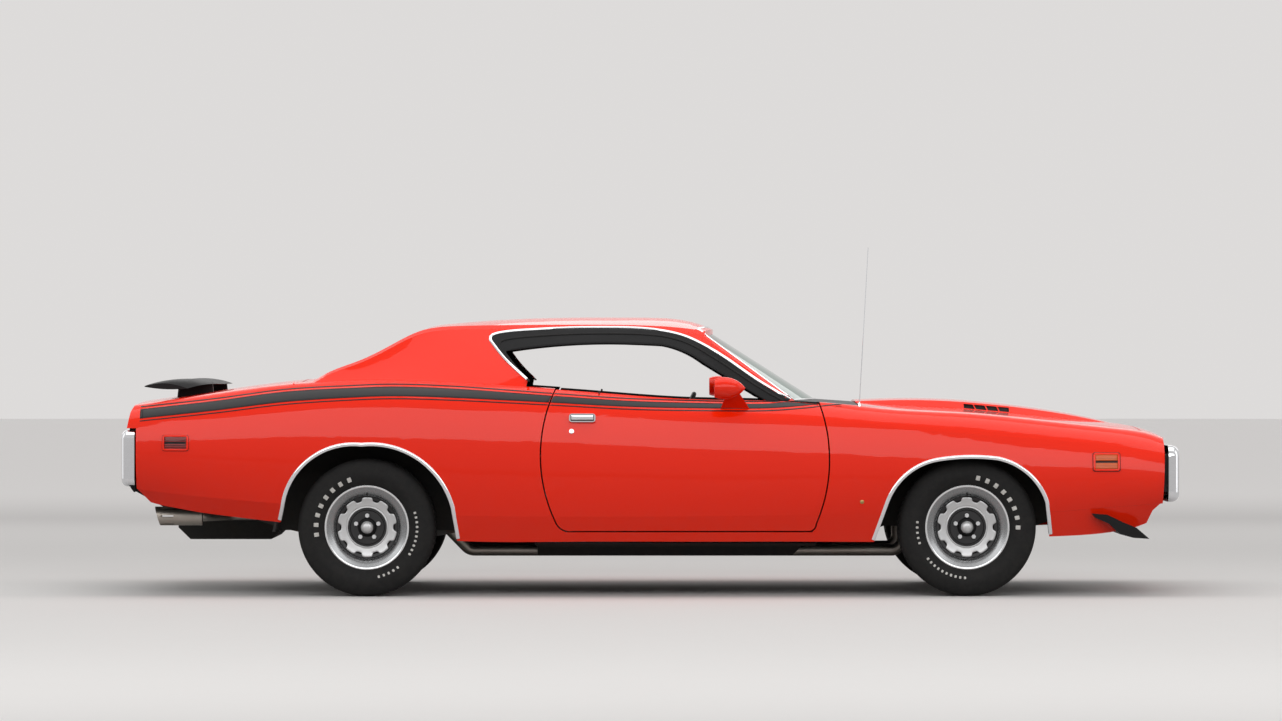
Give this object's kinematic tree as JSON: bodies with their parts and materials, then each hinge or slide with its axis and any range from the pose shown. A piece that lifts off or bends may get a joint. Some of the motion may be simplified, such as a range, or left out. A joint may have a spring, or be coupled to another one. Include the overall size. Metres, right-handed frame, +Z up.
{
  "type": "muscle car",
  "caption": "Two-door hardtop muscle car with long hood, raised hood bulge, sloping rear posts, rear wing, opening doors, hood and deck lid, steering front wheels.",
  "frame": {"origin": "on the ground under the middle of the car", "axes": "+X forward, +Y left, +Z up"},
  "size_m": [5.2168, 2.1074, 1.697],
  "materials": {
    "paint": "gloss orange",
    "black_paint": "satin black",
    "chrome": "polished",
    "glass": "tinted",
    "lamp_glass": "clear",
    "red_lens": "gloss",
    "dark_plastic": "satin",
    "seat_cover": "vinyl",
    "steel": "bare",
    "rim": "silver with a bright ring",
    "tyre": "rubber"
  },
  "bodies": {
    "chassis": {"fenders": "paint", "quarters": "paint", "roof": "paint", "sills": "paint", "nose_panel": "paint", "cowl": "paint", "rear_shelf": "paint", "tail_panel": "paint", "front_valance": "paint", "chin_spoilers": "black_paint", "floor_pan": "black_paint", "firewall": "black_paint", "inner_fenders": "black_paint", "wheelhouses": "black_paint", "front_suspension": "black_paint", "rear_axle": "black_paint", "propshaft": "black_paint", "fuel_tank": "black_paint", "engine": "black_paint", "front_bumper": "chrome", "rear_bumper": "chrome", "antenna": "chrome", "windshield": "glass", "rear_window": "glass", "headlamps": "lamp_glass", "tail_lamps": "red_lens", "side_markers": "red_lens", "grille": "dark_plastic", "dashboard": "dark_plastic", "steering_wheel": "dark_plastic", "front_seats": "seat_cover", "rear_seat": "seat_cover", "exhaust": "steel"},
    "door_right": {"door_right": "paint", "handle_right": "chrome", "mirror_right": "paint"},
    "door_left": {"door_left": "paint", "handle_left": "chrome", "mirror_left": "paint"},
    "hood": {"hood": "paint"},
    "deck_lid": {"deck_lid": "paint", "rear_wing": "black_paint"},
    "knuckle_left": {"knuckle_left": "black_paint"},
    "knuckle_right": {"knuckle_right": "black_paint"},
    "wheel_front_left": {"wheel_front_left": "rim", "tyre_front_left": "tyre"},
    "wheel_front_right": {"wheel_front_right": "rim", "tyre_front_right": "tyre"},
    "wheel_rear_left": {"wheel_rear_left": "rim", "tyre_rear_left": "tyre"},
    "wheel_rear_right": {"wheel_rear_right": "rim", "tyre_rear_right": "tyre"}
  },
  "joints": [
    {"name": "door_right_hinge", "type": "hinge", "parent": "chassis", "child": "door_right", "pos_m": [0.841, -0.997, 0.65], "axis": [0, 0, 1], "range_deg": [0, 65]},
    {"name": "door_left_hinge", "type": "hinge", "parent": "chassis", "child": "door_left", "pos_m": [0.841, 0.997, 0.65], "axis": [0, 0, -1], "range_deg": [0, 65]},
    {"name": "hood_hinge", "type": "hinge", "parent": "chassis", "child": "hood", "pos_m": [1.006, 0, 0.962], "axis": [0, -1, 0], "range_deg": [0, 55]},
    {"name": "deck_lid_hinge", "type": "hinge", "parent": "chassis", "child": "deck_lid", "pos_m": [-1.7, 0, 1.058], "axis": [0, 1, 0], "range_deg": [0, 70]},
    {"name": "steer_left", "type": "hinge", "parent": "chassis", "child": "knuckle_left", "pos_m": [1.5395, 0.69, 0.335], "axis": [0, 0, 1], "range_deg": [-31, 31]},
    {"name": "steer_right", "type": "hinge", "parent": "chassis", "child": "knuckle_right", "pos_m": [1.5395, -0.69, 0.335], "axis": [0, 0, 1], "range_deg": [-31, 31]},
    {"name": "wheel_front_left_spin", "type": "hinge", "parent": "knuckle_left", "child": "wheel_front_left", "pos_m": [1.5395, 0.758, 0.335], "axis": [0, 1, 0], "continuous": true},
    {"name": "wheel_front_right_spin", "type": "hinge", "parent": "knuckle_right", "child": "wheel_front_right", "pos_m": [1.5395, -0.758, 0.335], "axis": [0, 1, 0], "continuous": true},
    {"name": "wheel_rear_left_spin", "type": "hinge", "parent": "chassis", "child": "wheel_rear_left", "pos_m": [-1.3815, 0.7875, 0.335], "axis": [0, 1, 0], "continuous": true},
    {"name": "wheel_rear_right_spin", "type": "hinge", "parent": "chassis", "child": "wheel_rear_right", "pos_m": [-1.3815, -0.7875, 0.335], "axis": [0, 1, 0], "continuous": true}
  ],
  "couplings": [
    {"joint": "steer_right", "follows": "steer_left", "ratio": 1}
  ]
}
